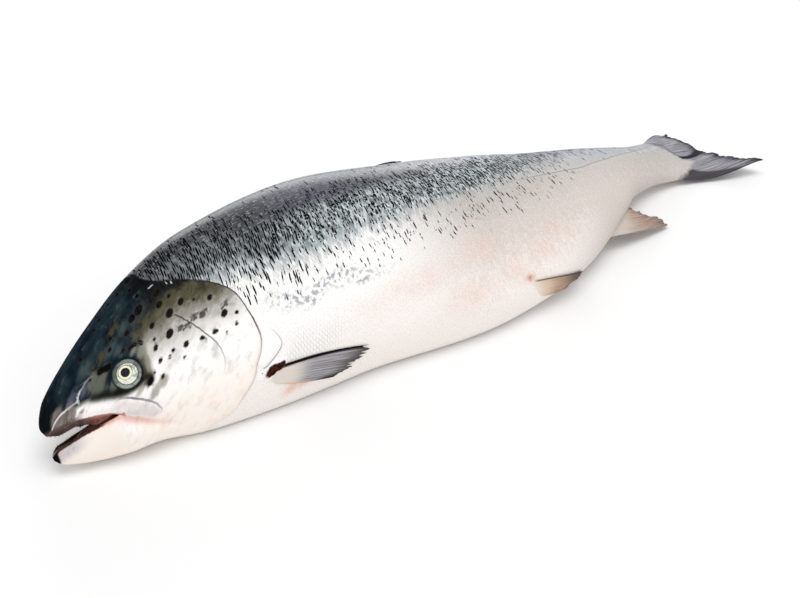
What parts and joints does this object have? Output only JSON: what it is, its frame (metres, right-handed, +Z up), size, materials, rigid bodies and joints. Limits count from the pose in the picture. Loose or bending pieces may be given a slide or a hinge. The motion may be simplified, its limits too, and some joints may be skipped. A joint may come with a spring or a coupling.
{
  "type": "whole raw fish",
  "caption": "Whole raw salmon lying on its side, with an open mouth, gill covers, fins folded against the body and a forked tail fin.",
  "frame": {"origin": "centre of the bounding box's bottom, on the surface that the fish lies on", "axes": "+X from the head to the tail, +Y towards the back (dorsal side), +Z up, which is the left flank"},
  "size_m": [0.7894, 0.186, 0.1171],
  "materials": {
    "skin": "wet, silvery scales"
  },
  "bodies": {
    "root": {"salmon": "skin"}
  },
  "joints": []
}
